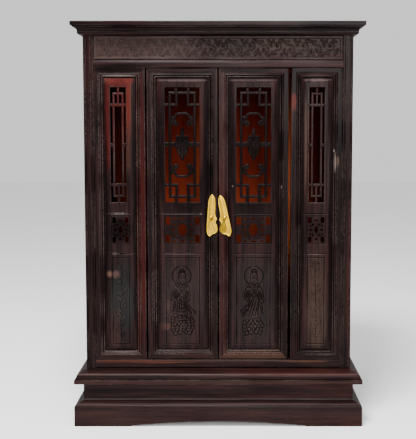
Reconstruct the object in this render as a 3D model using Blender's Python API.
"""Household altar cabinet: a carved dark hardwood shrine with two hinged doors between two fixed
leaves, on a moulded stand.  Metres, +Z up, front towards -Y, origin at the bottom centre."""

import math

import bmesh
import bpy
from mathutils import Matrix

# Overall sizes, as half widths and half depths of each storey
PLINTH_HALF = (0.2450, 0.1600)
WAIST_HALF = (0.2310, 0.1460)
BODY_HALF = (0.2270, 0.1370)
CORNICE_HALF = (0.2450, 0.1550)

# Heights of the storeys, bottom and top
PLINTH_TOP = 0.0420
WAIST_TOP = 0.0730
BASE_TOP = 0.0935
BODY_TOP = 0.6625
SOFFIT_TOP = 0.6675
CABINET_TOP = 0.6840

# Stock thicknesses
FIT = 0.0003            # clearance between pieces that touch
PLINTH_STOCK = 0.0260
WAIST_STOCK = 0.0120
POST = 0.0165
RAIL_STOCK = 0.0160
SIDE_BOARD = 0.0080
SIDE_SETBACK = 0.0020
BACK_BOARD = 0.0060
BACK_SETBACK = 0.0030

# Arch under the front of the plinth
ARCH_HALF = 0.1500
ARCH_RISE = 0.0088
ARCH_SHOULDER = 0.0018
ARCH_OGEE = 0.0050
ARCH_SPRING = 0.0004

# Front rails and frieze
LOWER_RAIL_TOP = 0.1090
UPPER_RAIL_BOTTOM = 0.6086
FRIEZE_BOTTOM = 0.6216
FRIEZE_FRONT = -0.1345
FRIEZE_THICKNESS = 0.0090

# Leaves: two fixed ones at the sides and two doors between them
LEAF_FRONT = -0.1350
LEAF_THICKNESS = 0.0140
FRAME_WIDTH = 0.0155
FIXED_LEAF_INNER = 0.1235
DOOR_BOTTOM = 0.1105
DOOR_TOP = 0.6078
DOOR_MEETING = 0.0012
LEFT_DOOR_EDGE = 0.1205
RIGHT_DOOR_EDGE = 0.1188

# Frame moulding, measured in from the outer edge and down from the front face
FLAT_WIDTH = 0.0083
BEAD_DROP = 0.0010
GROOVE_DEPTH = 0.0035
GROOVE_BACK = 0.0088
GROOVE_FRONT = 0.0032

# Carved panels
TONGUE = GROOVE_DEPTH - FIT
TONGUE_FRONT = GROOVE_FRONT + FIT
PANEL_BACK = GROOVE_BACK - FIT
SUNK_BORDER = 0.0014
CHAMFER_WIDTH = 0.0076
FIELD_DROP = 0.0005

# Hinge pegs, measured from the door's outer edge and front face
PEG_INSET = 0.0060
PEG_DEPTH = 0.0050
PEG_RADIUS = 0.0020
PEG_LENGTH = 0.0045
PEG_ROOT = 0.0030

# Fretwork
FRET_CENTRE = 0.4785
FRET_HALF_HEIGHT = 0.0975
DOOR_FRET_HALF = 0.0295
LEAF_FRET_HALF = 0.0132
BAR = 0.0052
FRET_FRONT_DROP = 0.0006
FRET_BACK_DROP = 0.0014
SMALL_FRET_CENTRE = 0.3340
SCORE_LINES = (0.3622, 0.2936)
LOWER_FIELD = (0.1362, 0.2866)

# Halo behind each figure's head
HALO_HEIGHT = 0.2545
HALO_OUTER = 0.0172
HALO_INNER = 0.0160

# Brass pulls: each boss as (x, height), tilts in degrees
LEFT_BOSS = (-0.0121, 0.3560)
RIGHT_BOSS = (0.0111, 0.3555)
RIGHT_PLATE_TILT = 8.5
DROP_TILTS = (-2.0, -8.0)
PLATE_THICKNESS = 0.0012
DROP_THICKNESS = 0.0022
BOSS_RADIUS = 0.0030

for leftover in list(bpy.data.objects):
    bpy.data.objects.remove(leftover, do_unlink=True)

cabinet = bpy.data.collections.new("altar_cabinet")
cutters = bpy.data.collections.new("cutters")
for collection in (cabinet, cutters):
    bpy.context.scene.collection.children.link(collection)


# ---------------------------------------------------------------- materials

def finish(name, colour, roughness, metallic=0.0):
    material = bpy.data.materials.new(name)
    material.use_nodes = True
    shader = material.node_tree.nodes["Principled BSDF"]
    shader.inputs["Base Color"].default_value = (*colour, 1.0)
    shader.inputs["Roughness"].default_value = roughness
    shader.inputs["Metallic"].default_value = metallic
    return material


BLACKWOOD = finish("blackwood", (0.030, 0.016, 0.014), 0.42)
REDWOOD = finish("redwood", (0.160, 0.045, 0.020), 0.50)
BRASS = finish("brass", (0.780, 0.560, 0.250), 0.32, metallic=1.0)


def material_for(name):
    """Each piece has its own copy of its finish."""
    family = BRASS if "pull" in name else REDWOOD if name == "back_board" else BLACKWOOD
    material = family.copy()
    material.name = name + "_finish"
    return material


# ---------------------------------------------------------------- making meshes

def add_piece(name, bm, matrix=None):
    """Turns a bmesh into a finished piece of the cabinet."""
    bmesh.ops.recalc_face_normals(bm, faces=bm.faces)
    if bm.calc_volume(signed=True) < 0:
        bmesh.ops.reverse_faces(bm, faces=bm.faces)
    mesh = bpy.data.meshes.new(name)
    bm.to_mesh(mesh)
    bm.free()
    mesh.shade_smooth()
    mesh.set_sharp_from_angle(angle=math.radians(35))
    piece = bpy.data.objects.new(name, mesh)
    piece.matrix_world = matrix or Matrix()
    mesh.materials.append(material_for(name))
    cabinet.objects.link(piece)
    return piece


def slab(name, outlines, thickness, matrix=None):
    """A flat outline, or several nested ones, given a thickness about its own plane."""
    curve = bpy.data.curves.new(name, "CURVE")
    curve.dimensions = "2D"
    curve.fill_mode = "BOTH"
    curve.extrude = thickness / 2
    for outline in outlines:
        spline = curve.splines.new("POLY")
        spline.points.add(len(outline) - 1)
        spline.use_cyclic_u = True
        for point, (x, y) in zip(spline.points, outline):
            point.co = (x, y, 0.0, 1.0)
    guide = bpy.data.objects.new(name, curve)
    cabinet.objects.link(guide)
    mesh = bpy.data.meshes.new_from_object(guide)
    bpy.data.objects.remove(guide, do_unlink=True)
    bpy.data.curves.remove(curve)
    bm = bmesh.new()
    bm.from_mesh(mesh)
    bpy.data.meshes.remove(mesh)
    bmesh.ops.remove_doubles(bm, verts=bm.verts, dist=0.00002)
    return add_piece(name, bm, matrix)


def upright(x, front, back):
    """Stands a drawing up: its x runs along X, its y along Z, its middle between front and back."""
    return Matrix.Translation((x, (front + back) / 2, 0.0)) @ Matrix.Rotation(math.pi / 2, 4, "X")


def face_slab(name, outlines, front, back, x=0.0):
    """A slab drawn on the cabinet's front, from the depth front to the depth back."""
    return slab(name, outlines, back - front, upright(x, front, back))


def lofted_length(name, profile, length, matrix, lean=1.0):
    """A moulding: the profile (inwards, up) run along x, its ends mitred when lean is 1."""
    bm = bmesh.new()
    start = bm.faces.new([bm.verts.new((lean * s + FIT / 2, s, h)) for s, h in profile])
    grown = bmesh.ops.extrude_face_region(bm, geom=[start])
    for vert in (item for item in grown["geom"] if isinstance(item, bmesh.types.BMVert)):
        vert.co.x = length - vert.co.x
    return add_piece(name, bm, matrix)


def ringed_board(name, half_width, half_depth, rings, matrix=None):
    """A board whose four edges are moulded alike: rings are (inset, height), bottom to top."""
    bm = bmesh.new()
    loops = []
    for inset, height in rings:
        w, d = half_width - inset, half_depth - inset
        corners = [(-w, -d, height), (w, -d, height), (w, d, height), (-w, d, height)]
        loops.append([bm.verts.new(corner) for corner in corners])
    for lower, upper in zip(loops, loops[1:]):
        for i in range(4):
            bm.faces.new((lower[i - 1], lower[i], upper[i], upper[i - 1]))
    bm.faces.new(loops[0])
    bm.faces.new(loops[-1])
    return add_piece(name, bm, matrix)


def combine(target, operation, pieces, label):
    """Joins the pieces to the target, or cuts them from it, in one Boolean."""
    tools = bpy.data.collections.new(f"{target.name} {label}")
    cutters.children.link(tools)
    for piece in pieces:
        cabinet.objects.unlink(piece)
        tools.objects.link(piece)
        piece.hide_render = True
        piece.display_type = "WIRE"
    modifier = target.modifiers.new(label, "BOOLEAN")
    modifier.operand_type = "COLLECTION"
    modifier.collection = tools
    modifier.operation = operation
    modifier.solver = "EXACT"


# ---------------------------------------------------------------- drawing outlines

def rectangle(x0, x1, z0, z1):
    return [(x0, z0), (x1, z0), (x1, z1), (x0, z1)]


def ellipse(x, z, rx, rz, count=12):
    turns = [math.tau * i / count for i in range(count)]
    return [(x + rx * math.cos(a), z + rz * math.sin(a)) for a in turns]


def arc(x, z, radius, start, end, steps):
    angles = [math.radians(start + (end - start) * i / steps) for i in range(steps + 1)]
    return [(x + radius * math.cos(a), z + radius * math.sin(a)) for a in angles]


def leaf_shape(x0, z0, x1, z1, half_width, steps=4):
    """A pointed leaf from one tip to the other."""
    length = math.hypot(x1 - x0, z1 - z0)
    ux, uz = (x1 - x0) / length, (z1 - z0) / length

    def edge(t, side):
        swell = side * half_width * math.sin(math.pi * t)
        return (x0 + ux * length * t - uz * swell, z0 + uz * length * t + ux * swell)

    there = [edge(i / steps, 1) for i in range(steps + 1)]
    back = [edge(i / steps, -1) for i in range(steps - 1, 0, -1)]
    return there + back


def ribbon(points, width):
    """The outline of a bar of even width that follows the points."""
    sides = ([], [])
    for i, (x, z) in enumerate(points):
        before = points[max(i - 1, 0)]
        after = points[min(i + 1, len(points) - 1)]
        into = math.atan2(z - before[1], x - before[0]) if i else None
        out = math.atan2(after[1] - z, after[0] - x) if i < len(points) - 1 else into
        into = out if into is None else into
        turn = (out - into + math.pi) % math.tau - math.pi
        reach = width / 2 / math.cos(turn / 2)
        heading = into + turn / 2 + math.pi / 2
        for side, sign in zip(sides, (1, -1)):
            side.append((x + sign * reach * math.cos(heading), z + sign * reach * math.sin(heading)))
    return sides[0] + sides[1][::-1]


def flipped(outline, sx=1, sz=1):
    return [(sx * x, sz * z) for x, z in outline]


def moved(outline, x=0.0, z=0.0):
    return [(px + x, pz + z) for px, pz in outline]


def quarter_round(start, end, steps=3, level_first=False):
    """Quarter of an ellipse from start to end that sets off upright, or level if level_first."""
    points = []
    for i in range(steps + 1):
        a = math.pi / 2 * i / steps
        run, climb = (math.sin(a), 1 - math.cos(a)) if level_first else (1 - math.cos(a), math.sin(a))
        points.append((start[0] + (end[0] - start[0]) * run, start[1] + (end[1] - start[1]) * climb))
    return points


# ---------------------------------------------------------------- stand

def mitred_ring(names, half, profile):
    """Four boards mitred round a rectangle: front, right, back, left."""
    w, d = half
    corners = ((-w, -d), (w, -d), (w, d), (-w, d))
    for i, (name, (x, y)) in enumerate(zip(names, corners)):
        length = 2 * (d if i % 2 else w)
        place = Matrix.Translation((x, y, 0.0)) @ Matrix.Rotation(math.pi / 2 * i, 4, "Z")
        lofted_length(name, profile, length, place)


def make_plinth():
    rounded = quarter_round((0.0, PLINTH_TOP - 0.0095), (0.0045, PLINTH_TOP - 0.0048))
    profile = [(PLINTH_STOCK, 0.0), (0.0, 0.0), *rounded, (0.0137, PLINTH_TOP), (PLINTH_STOCK, PLINTH_TOP)]
    sides = ("front", "right", "back", "left")
    mitred_ring([f"plinth_{side}" for side in sides], PLINTH_HALF, profile)

    steps = 10
    reach = ARCH_HALF - ARCH_OGEE
    xs = [reach * (1 - 2 * i / steps) for i in range(steps + 1)]
    crown = [(x, ARCH_SHOULDER + (ARCH_RISE - ARCH_SHOULDER) * (1 - (x / reach) ** 2)) for x in xs]
    below = -0.005
    outline = [(-ARCH_HALF, below), (ARCH_HALF, below), (ARCH_HALF, ARCH_SPRING), *crown, (-ARCH_HALF, ARCH_SPRING)]
    front = -PLINTH_HALF[1]
    arch = face_slab("plinth_arch_cutter", [outline], front - 0.01, front + PLINTH_STOCK + 0.01)
    combine(bpy.data.objects["plinth_front"], "DIFFERENCE", [arch], "arch")


def make_waist():
    bottom, top = PLINTH_TOP + FIT, WAIST_TOP - FIT
    profile = [(WAIST_STOCK, bottom), (0.0, bottom), (0.0, top), (WAIST_STOCK, top)]
    mitred_ring([f"waist_{side}" for side in ("front", "right", "back", "left")], WAIST_HALF, profile)


def make_base_plate():
    fascia_top = WAIST_TOP + 0.0065
    round_start = fascia_top + 0.0040
    rings = [
        (0.0, WAIST_TOP),
        (0.0, fascia_top),
        (0.0008, fascia_top + 0.0013),
        (0.0030, fascia_top + 0.0015),
        *quarter_round((0.0030, round_start), (0.0068, BASE_TOP - 0.0042)),
        (PLINTH_HALF[0] - BODY_HALF[0] - 0.0002, BASE_TOP),
    ]
    ringed_board("base_plate", *PLINTH_HALF, rings)


# ---------------------------------------------------------------- carcass

def make_posts():
    """Square posts; the front pair has an eased outer corner and two scored lines."""
    bottom, top = BASE_TOP + FIT, BODY_TOP - FIT
    height = Matrix.Translation((0.0, 0.0, (bottom + top) / 2))
    ease, score = 0.0015, 0.0005
    front_face = [(0.0, POST), (0.0, ease), (ease, 0.0)]
    for line in (0.0035, 0.0130):
        front_face += [(line - score, 0.0), (line, score), (line + score, 0.0)]
    front_face += [(POST, 0.0), (POST, POST)]
    plain = [(0.0, POST), (0.0, ease), (ease, 0.0), (POST, 0.0), (POST, POST)]
    for side, sx in (("left", 1), ("right", -1)):
        for end, sy, outline in (("front", 1, front_face), ("back", -1, plain)):
            plan = moved(outline, -BODY_HALF[0], -BODY_HALF[1])
            slab(f"post_{end}_{side}", [flipped(plan, sx, sy)], top - bottom, height)


def make_side_and_back_boards():
    half_height = (BODY_TOP - BASE_TOP) / 2 - FIT
    middle = (BODY_TOP + BASE_TOP) / 2
    raised = [(0.0, -SIDE_BOARD), (0.0, -0.0030), (0.0140, -0.0030), (0.0220, 0.0)]
    half_depth = BODY_HALF[1] - POST - FIT
    for side, sign in (("left", -1), ("right", 1)):
        turn = Matrix.Rotation(sign * math.pi / 2, 4, "Y")
        place = Matrix.Translation((sign * (BODY_HALF[0] - SIDE_SETBACK), 0.0, middle)) @ turn
        ringed_board(f"side_board_{side}", half_height, half_depth, raised, place)
    place = Matrix.Translation((0.0, BODY_HALF[1] - BACK_SETBACK, middle)) @ Matrix.Rotation(-math.pi / 2, 4, "X")
    flat = [(0.0, -BACK_BOARD), (0.0, -0.0010), (0.0010, 0.0)]
    ringed_board("back_board", BODY_HALF[0] - POST - FIT, half_height, flat, place)


def front_bar(name, profile):
    """A bar between the front posts: the profile is (in from the front face, height)."""
    reach = BODY_HALF[0] - POST - FIT / 2
    lofted_length(name, profile, 2 * reach, Matrix.Translation((-reach, -BODY_HALF[1], 0.0)), lean=0.0)


def make_front_rails():
    foot, top = BASE_TOP + FIT, LOWER_RAIL_TOP
    lower = [(RAIL_STOCK, foot), (0.0020, foot), (0.0020, foot + 0.0020), (0.0005, foot + 0.0025),
             *quarter_round((0.0005, top - 0.0012), (0.0017, top), 2), (RAIL_STOCK, top)]
    front_bar("lower_rail", lower)
    bottom, top = UPPER_RAIL_BOTTOM, FRIEZE_BOTTOM - FIT
    upper = [(RAIL_STOCK, bottom), (0.0006, bottom), (0.0, bottom + 0.0006),
             *quarter_round((0.0, top - 0.0040), (0.0030, top)), (RAIL_STOCK, top)]
    front_bar("upper_rail", upper)


def make_crown():
    """A thin board with a bead edge closes the cabinet, and the coved top board lies on it."""
    neck = 0.0101
    bead_edge = quarter_round((0.0143, BODY_TOP), (neck, SOFFIT_TOP - 0.0010), level_first=True)
    ringed_board("soffit_board", *CORNICE_HALF, [*bead_edge, (neck, SOFFIT_TOP - FIT)])
    cove = quarter_round((neck, SOFFIT_TOP + 0.0006), (0.0032, SOFFIT_TOP + 0.0074), 4)
    fascia = SOFFIT_TOP + 0.0094
    rings = [(neck, SOFFIT_TOP), *cove, (0.0032, fascia), (0.0004, fascia + 0.0003), (0.0, fascia + 0.0008),
             (0.0, CABINET_TOP - 0.0008), (0.0008, CABINET_TOP)]
    ringed_board("top_board", *CORNICE_HALF, rings)


# ---------------------------------------------------------------- frieze

def make_frieze():
    """The long carved board under the cornice, with running scrolls and leaves in low relief."""
    bottom, top = FRIEZE_BOTTOM, BODY_TOP - FIT
    half_width = BODY_HALF[0] - POST - FIT
    place = upright(0.0, FRIEZE_FRONT, FRIEZE_FRONT) @ Matrix.Translation((0.0, (bottom + top) / 2, 0.0))
    rings = [(0.0, -FRIEZE_THICKNESS), (0.0, -0.0018), (0.0012, -0.0018), (0.0018, 0.0)]
    board = ringed_board("frieze_board", half_width, (top - bottom) / 2, rings, place)

    middle, scrolls = (bottom + top) / 2, 8
    pitch = 2 * (half_width - 0.008) / scrolls
    carving = []
    for i in range(scrolls):
        up = 1 if i % 2 else -1
        x = pitch * (i + 0.5 - scrolls / 2)
        turns = [math.radians(30 + 45 * k) for k in range(10)]
        curl = [((0.0135 - 0.0012 * k) * math.cos(a), (0.0135 - 0.0012 * k) * math.sin(a))
                for k, a in enumerate(turns)]
        tail = [(pitch * 0.52, -0.0090)]
        spine = flipped(tail + curl, 1, up)
        carving.append(ribbon(moved(spine, x, middle), 0.0026))
        for dx, dz, length in ((0.018, 0.010, 0.011), (-0.019, -0.010, 0.010)):
            tip = (x + dx + 0.6 * length, middle + up * (dz + 0.55 * length))
            carving.append(leaf_shape(x + dx - 0.4 * length, middle + up * (dz - 0.5 * length), *tip, 0.0022))
    pieces = [face_slab(f"frieze_scroll_{i}", [outline], FRIEZE_FRONT - 0.0008, FRIEZE_FRONT + 0.0015)
              for i, outline in enumerate(carving)]
    combine(board, "UNION", pieces, "scrolls")


# ---------------------------------------------------------------- leaves

def bead(start, end, drop, crown, steps=2):
    """A small round moulding across start..end, its edges at drop and its middle raised by crown."""
    points = []
    for i in range(steps + 1):
        t = i / steps
        points.append((start + (end - start) * t, -drop + crown * math.sin(math.pi * t)))
    return points


def frame_profile():
    """Section of every leaf frame: flat, two beads, and a groove that holds the panel."""
    w = FRAME_WIDTH
    return [
        (0.0, -LEAF_THICKNESS),
        (0.0, -0.0006),
        (0.0006, 0.0),
        (FLAT_WIDTH, 0.0),
        *bead(FLAT_WIDTH + 0.0003, FLAT_WIDTH + 0.0037, BEAD_DROP, 0.0009),
        *bead(FLAT_WIDTH + 0.0041, w - 0.0002, BEAD_DROP + 0.0007, 0.0011),
        (w, -GROOVE_FRONT),
        (w - GROOVE_DEPTH, -GROOVE_FRONT),
        (w - GROOVE_DEPTH, -GROOVE_BACK),
        (w, -GROOVE_BACK),
        (w, -LEAF_THICKNESS),
    ]


def make_frame(prefix, x0, x1, z0, z1):
    """Two stiles and two rails, mitred at the corners."""
    corners = ((x0, z0), (x1, z0), (x1, z1), (x0, z1))
    names = ("bottom_rail", "right_stile", "top_rail", "left_stile")
    members = []
    for i, (name, (x, z)) in enumerate(zip(names, corners)):
        length = (z1 - z0) if i % 2 else (x1 - x0)
        turn = Matrix.Rotation(-math.pi / 2 * i, 4, "Y") @ Matrix.Rotation(math.pi / 2, 4, "X")
        place = Matrix.Translation((x, LEAF_FRONT, z)) @ turn
        members.append(lofted_length(f"{prefix}_{name}", frame_profile(), length, place))
    return members


def fret_bars_door():
    """Outlines of a door's long fret: ring, meanders, clouds and a flower, about its centre."""
    w, h = DOOR_FRET_HALF + 0.001, FRET_HALF_HEIGHT + 0.001
    ring, high = 0.0210, 0.0878
    bars = [
        rectangle(-ring - BAR / 2, -ring + BAR / 2, -high - BAR / 2, high + BAR / 2),
        rectangle(ring - BAR / 2, ring + BAR / 2, -high - BAR / 2, high + BAR / 2),
    ]
    cloud = [(-0.0068, 0.0305), (-0.0088, 0.0335), (-0.0130, 0.0345), (-0.0172, 0.0370), (-0.0182, 0.0415),
             (-0.0150, 0.0460), (-0.0100, 0.0500), (0.0, 0.0512)]
    cloud += flipped(cloud[-2::-1], -1)
    for up in (1, -1):
        bars.append(rectangle(-ring, ring, up * high - BAR / 2, up * high + BAR / 2))
        bars.append(flipped(ribbon(cloud, 0.0044), 1, up))
        for side in (1, -1):
            bars.append(rectangle(side * 0.0105 - 0.0031, side * 0.0105 + 0.0031, up * high, up * h))
            meander = [(0.0093, high), (0.0093, 0.0678), (ring, 0.0678)]
            bars.append(flipped(ribbon(meander, BAR), side, up))
            bars.append(rectangle(side * ring, side * w, up * 0.0678 - BAR / 2, up * 0.0678 + BAR / 2))
    for side in (1, -1):
        bars.append(rectangle(side * 0.0040, side * w, -0.0026, 0.0026))
        bars.append(leaf_shape(side * 0.0112, 0.0150, -side * 0.0112, -0.0150, 0.0036))
    bars.append(leaf_shape(0.0, 0.0285, 0.0, -0.0275, 0.0066, 6))
    return bars


def fret_bars_fixed():
    """Outlines of a fixed leaf's long fret, about its centre."""
    w, h = LEAF_FRET_HALF + 0.001, FRET_HALF_HEIGHT + 0.001
    ring, high, bar = 0.0076, 0.0865, 0.0044
    bars = []
    for side in (1, -1):
        bars.append(rectangle(side * ring - bar / 2, side * ring + bar / 2, -high - bar / 2, high + bar / 2))
        bars.append(rectangle(side * ring, side * w, -0.0036, 0.0036))
        bars.append(rectangle(-ring, ring, side * high - bar / 2, side * high + bar / 2))
        bars.append(rectangle(-0.0020, 0.0020, side * 0.0676, side * h))
        bars.append(rectangle(-w, w, side * 0.0676 - 0.0028, side * 0.0676 + 0.0028))
    return bars


def small_fret_holes(half):
    """Holes of the small square fret, about its centre: corners, a middle and slots between."""
    if half > LEAF_FRET_HALF + 0.002:
        corner, middle = (0.0040, 0.0058), (0.0066, 0.0092)
        slots = ((0.0145, 0.0195, 0.0024), (0.0160, 0.0, 0.0024), (0.0145, 0.0085, 0.0024), (0.0, 0.0195, 0.0040))
    else:
        corner, middle = (0.0028, 0.0046), (0.0026, 0.0056)
        slots = ((0.0100, 0.0, 0.0022), (0.0060, 0.0090, 0.0015), (0.0, 0.0160, 0.0022), (0.0105, 0.0078, 0.0012))
    x, z = half - corner[0] - 0.0002, 0.0220 - corner[1]
    holes = [ellipse(0.0, 0.0, *middle, 10)]
    for sx in (1, -1):
        for sz in (1, -1):
            cx, cz = sx * x, sz * z
            holes.append(rectangle(cx - corner[0], cx + corner[0], cz - corner[1], cz + corner[1]))
    for dx, dz, wide in slots:
        for sx in (1, -1) if dx else (1,):
            for sz in (1, -1) if dz else (1,):
                holes.append(rectangle(sx * dx - wide, sx * dx + wide, sz * dz - 0.0012, sz * dz + 0.0012))
    return holes


def figure_carving(side, halo_z):
    """Outlines of a robed standing figure on clouds, about the halo's axis; side mirrors it."""
    head = ellipse(0.0, halo_z - 0.001, 0.0046, 0.0068, 10)
    knot = ellipse(0.0004, halo_z + 0.0072, 0.0020, 0.0026, 8)
    robe = [(-0.0050, -0.0085), (-0.0092, -0.0160), (-0.0118, -0.0270), (-0.0190, -0.0400), (-0.0178, -0.0480),
            (-0.0105, -0.0520), (-0.0085, -0.0630), (-0.0105, -0.0760), (0.0085, -0.0760), (0.0068, -0.0630),
            (0.0092, -0.0500), (0.0142, -0.0440), (0.0128, -0.0330), (0.0098, -0.0180), (0.0050, -0.0085)]
    shapes = [head, knot, moved(robe, 0.0, halo_z)]
    sash = [(0.0080, -0.0600), (0.0130, -0.0670), (0.0195, -0.0660), (0.0180, -0.0720)]
    shapes.append(ribbon(moved(sash, 0.0, halo_z), 0.0018))
    lobes = ((-0.0160, -0.0900, 0.0048), (-0.0085, -0.0830, 0.0050), (0.0, -0.0860, 0.0056),
             (0.0090, -0.0840, 0.0050), (0.0155, -0.0905, 0.0046), (-0.0060, -0.0960, 0.0056),
             (0.0065, -0.0965, 0.0056))
    shapes += [ellipse(x, halo_z + z, r, r * 0.9, 9) for x, z, r in lobes]
    folds = []
    for x, lean in ((-0.0062, 0.10), (-0.0015, -0.06), (0.0035, -0.16)):
        start = (x, halo_z - 0.020)
        folds.append(ribbon([start, (x - lean * 0.02, halo_z - 0.045), (x + lean * 0.03, halo_z - 0.073)], 0.0011))
    sleeve = [(-0.0100, -0.0260), (-0.0020, -0.0330), (0.0060, -0.0280)]
    folds.append(ribbon(moved(sleeve, 0.0, halo_z), 0.0014))
    return [flipped(s, side) for s in shapes], [flipped(s, side) for s in folds]


def plant_carving(half, bottom, top):
    """Outlines of an upright spray: a stem with pairs of leaves, between two heights."""
    reach = 0.62 * half
    shapes = [rectangle(-0.0007, 0.0007, bottom, top)]
    count = 6
    for i in range(count):
        z = bottom + (top - bottom) * (i + 0.5) / count
        side = 1 if i % 2 else -1
        shapes.append(leaf_shape(0.0, z, side * reach, z + 0.0130, 0.0026, 3))
    return shapes


def make_panel(prefix, x, half_visible, z0, z1, fret_half, fret_bars, carve):
    """A leaf's carved panel: a tongued board with a raised field, frets and a carved lower field."""
    centre = (z0 + z1) / 2
    half_width, half_height = half_visible + TONGUE, (z1 - z0) / 2 + TONGUE
    place = upright(x, LEAF_FRONT, LEAF_FRONT) @ Matrix.Translation((0.0, centre, 0.0))
    step = TONGUE + SUNK_BORDER
    rings = [(0.0, -PANEL_BACK), (0.0, -TONGUE_FRONT), (step, -TONGUE_FRONT), (step, -0.0026),
             (step + CHAMFER_WIDTH, -FIELD_DROP)]
    panel = ringed_board(f"{prefix}_panel", half_width, half_height, rings, place)
    field, back = LEAF_FRONT + FIELD_DROP, LEAF_FRONT + PANEL_BACK
    field_half = half_visible - SUNK_BORDER - CHAMFER_WIDTH

    def through(outline, label):
        return face_slab(f"{prefix}_{label}_cutter", [outline], field - 0.004, back + 0.004, x)

    def groove(outlines, label, depth=0.0007):
        return face_slab(f"{prefix}_{label}_cutter", outlines, field - 0.002, field + depth, x)

    opening = rectangle(-fret_half, fret_half, FRET_CENTRE - FRET_HALF_HEIGHT, FRET_CENTRE + FRET_HALF_HEIGHT)
    cuts = [through(opening, "fret_opening")]
    small_half = fret_half if fret_half > 0.02 else fret_half + 0.0008
    for i, hole in enumerate(small_fret_holes(small_half)):
        cuts.append(through(moved(hole, 0.0, SMALL_FRET_CENTRE), f"small_fret_{i}"))
    for i, line in enumerate(SCORE_LINES):
        cuts.append(groove([rectangle(-field_half, field_half, line - 0.0007, line + 0.0007)], f"score_{i}"))
    border = 0.0009
    outer = rectangle(-fret_half, fret_half, *LOWER_FIELD)
    inner = rectangle(-fret_half + border, fret_half - border, LOWER_FIELD[0] + border, LOWER_FIELD[1] - border)
    cuts.append(groove([outer, inner], "border"))

    raised, folds, ring = carve
    if ring:
        rims = [ellipse(*ring, radius, radius, 24) for radius in (HALO_OUTER, HALO_INNER)]
        cuts.append(groove(rims, "halo"))
    combine(panel, "DIFFERENCE", cuts, "cuts")

    front, rear = field + FRET_FRONT_DROP, back - FRET_BACK_DROP
    joined = [face_slab(f"{prefix}_bar_{i}", [moved(bar, 0.0, FRET_CENTRE)], front, rear, x)
              for i, bar in enumerate(fret_bars)]
    joined += [face_slab(f"{prefix}_relief_{i}", [s], field - 0.0007, field + 0.0012, x)
               for i, s in enumerate(raised)]
    joined += [face_slab(f"{prefix}_fold_{i}", [s], field - 0.0013, field + 0.0008, x)
               for i, s in enumerate(folds)]
    combine(panel, "UNION", joined, "carving")
    return panel


def make_fixed_leaves():
    outer = BODY_HALF[0] - POST - FIT
    z0, z1 = LOWER_RAIL_TOP + FIT, UPPER_RAIL_BOTTOM - FIT
    for side, sign in (("left", -1), ("right", 1)):
        prefix = f"fixed_leaf_{side}"
        x0, x1 = sorted((sign * outer, sign * FIXED_LEAF_INNER))
        make_frame(prefix, x0, x1, z0, z1)
        spray = plant_carving(LEAF_FRET_HALF, LOWER_FIELD[0] + 0.012, LOWER_FIELD[1] - 0.012)
        half_visible = (x1 - x0) / 2 - FRAME_WIDTH
        make_panel(prefix, (x0 + x1) / 2, half_visible, z0 + FRAME_WIDTH, z1 - FRAME_WIDTH, LEAF_FRET_HALF,
                   fret_bars_fixed(), (spray, [], None))


def upright_cylinder(name, x, low, high, radius):
    """A round peg, or the tool for its hole, on a door's hinge axis."""
    bm = bmesh.new()
    bmesh.ops.create_cone(bm, cap_ends=True, segments=12, radius1=radius, radius2=radius, depth=high - low)
    return add_piece(name, bm, Matrix.Translation((x, LEAF_FRONT + PEG_DEPTH, (low + high) / 2)))


def make_doors():
    """Each door hangs on pegs at its outer edge that turn in holes in the two front rails."""
    holes = {"lower_rail": [], "upper_rail": []}
    for side, sign, edge in (("left", -1, LEFT_DOOR_EDGE), ("right", 1, RIGHT_DOOR_EDGE)):
        prefix = f"door_{side}"
        x0, x1 = sorted((sign * DOOR_MEETING, sign * edge))
        members = make_frame(prefix, x0, x1, DOOR_BOTTOM, DOOR_TOP)
        raised, folds = figure_carving(-sign, HALO_HEIGHT)
        centre, half_visible = (x0 + x1) / 2, (x1 - x0) / 2 - FRAME_WIDTH
        panel = make_panel(prefix, centre, half_visible, DOOR_BOTTOM + FRAME_WIDTH, DOOR_TOP - FRAME_WIDTH,
                           DOOR_FRET_HALF, fret_bars_door(), (raised, folds, (0.0, HALO_HEIGHT)))
        hinge_x = sign * (edge - PEG_INSET)
        for rail, z, away, member in (("lower_rail", DOOR_BOTTOM, -1, members[0]),
                                      ("upper_rail", DOOR_TOP, 1, members[2])):
            low, high = sorted((z - away * PEG_ROOT, z + away * PEG_LENGTH))
            peg = upright_cylinder(f"{prefix}_{rail}_peg", hinge_x, low, high, PEG_RADIUS)
            combine(member, "UNION", [peg], "peg")
            low, high = sorted((z - away * PEG_ROOT, z + away * (PEG_LENGTH + 0.0010)))
            socket = upright_cylinder(f"{prefix}_{rail}_socket", hinge_x, low, high, PEG_RADIUS + FIT)
            holes[rail].append(socket)
        pull = make_pull(side)
        axis = bpy.data.objects.new(f"{prefix}_hinge_axis", None)
        axis.location = (hinge_x, LEAF_FRONT + PEG_DEPTH, DOOR_BOTTOM)
        cabinet.objects.link(axis)
        for piece in (*members, panel, *pull):
            piece.parent = axis
            piece.matrix_parent_inverse = Matrix.Translation(axis.location).inverted()
    for rail, sockets in holes.items():
        combine(bpy.data.objects[rail], "DIFFERENCE", sockets, "peg sockets")


# ---------------------------------------------------------------- brass pulls

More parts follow.
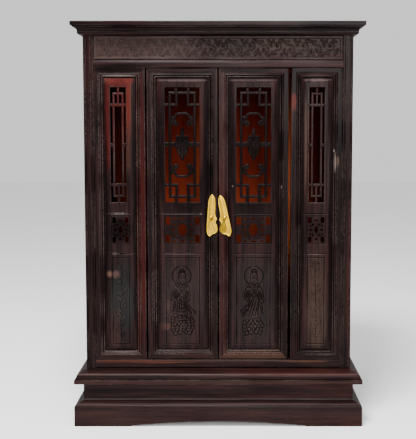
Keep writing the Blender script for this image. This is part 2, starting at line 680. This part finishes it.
def plate_outline():
    """A wing-shaped plate about its boss, drawn for the left door."""
    return [
        (0.0023, 0.0397), (-0.0017, 0.0363), (-0.0042, 0.0304), (-0.0051, 0.0244), (-0.0068, 0.0), (-0.0078, -0.0140),
        (-0.0081, -0.0235), (-0.0068, -0.0290), (-0.0045, -0.0322), (-0.0026, -0.0338), (0.0000, -0.0318),
        (0.0020, -0.0292), (0.0060, -0.0285), (0.0085, -0.0265), (0.0108, -0.0240), (0.0112, -0.0190),
        (0.0098, -0.0130), (0.0078, -0.0105), (0.0080, -0.0060), (0.0103, -0.0040), (0.0098, -0.0015),
        (0.0068, 0.0035), (0.0074, 0.0160), (0.0074, 0.0290), (0.0062, 0.0345),
    ]


def drop_outline():
    """A teardrop hanging from the boss: a narrow neck, two flanks and a foot with a soft point."""
    foot = arc(0.0, -0.0180, 0.0062, 180, 360, 8)
    foot = [(x, -0.0180 + (z + 0.0180) * 1.45) for x, z in foot]
    return [(0.0011, -0.0048), (-0.0011, -0.0048), (-0.0022, -0.0085), *foot, (0.0022, -0.0085)]


def make_pull(side):
    """Plate, boss and drop of one door; the right-hand plate has slipped to a tilt."""
    left = side == "left"
    boss_x, boss_z = LEFT_BOSS if left else RIGHT_BOSS
    plate_tilt = 0.0 if left else RIGHT_PLATE_TILT
    drop_tilt = DROP_TILTS[0 if left else 1]

    def placed(near, far, tilt=0.0):
        pose = Matrix.Translation((boss_x, (near + far) / 2, boss_z))
        return pose @ Matrix.Rotation(math.radians(-tilt), 4, "Y") @ Matrix.Rotation(math.pi / 2, 4, "X")

    front = LEAF_FRONT - FIT
    face = front - PLATE_THICKNESS
    outline = plate_outline() if left else flipped(plate_outline(), -1)
    plate = slab(f"pull_plate_{side}", [outline], PLATE_THICKNESS, placed(front, face, plate_tilt))
    bm = bmesh.new()
    bmesh.ops.create_uvsphere(bm, u_segments=12, v_segments=8, radius=BOSS_RADIUS)
    bmesh.ops.bisect_plane(bm, geom=bm.verts[:] + bm.edges[:] + bm.faces[:], plane_co=(0, 0, 0),
                           plane_no=(0, 0, -1), clear_outer=True)
    bmesh.ops.holes_fill(bm, edges=[edge for edge in bm.edges if edge.is_boundary])
    near = face - FIT
    boss = add_piece(f"pull_boss_{side}", bm, placed(near, near))
    far = near - DROP_THICKNESS
    drop = slab(f"pull_drop_{side}", [drop_outline()], DROP_THICKNESS, placed(near, far, drop_tilt))
    return plate, boss, drop


make_plinth()
make_waist()
make_base_plate()
make_posts()
make_side_and_back_boards()
make_front_rails()
make_crown()
make_frieze()
make_fixed_leaves()
make_doors()
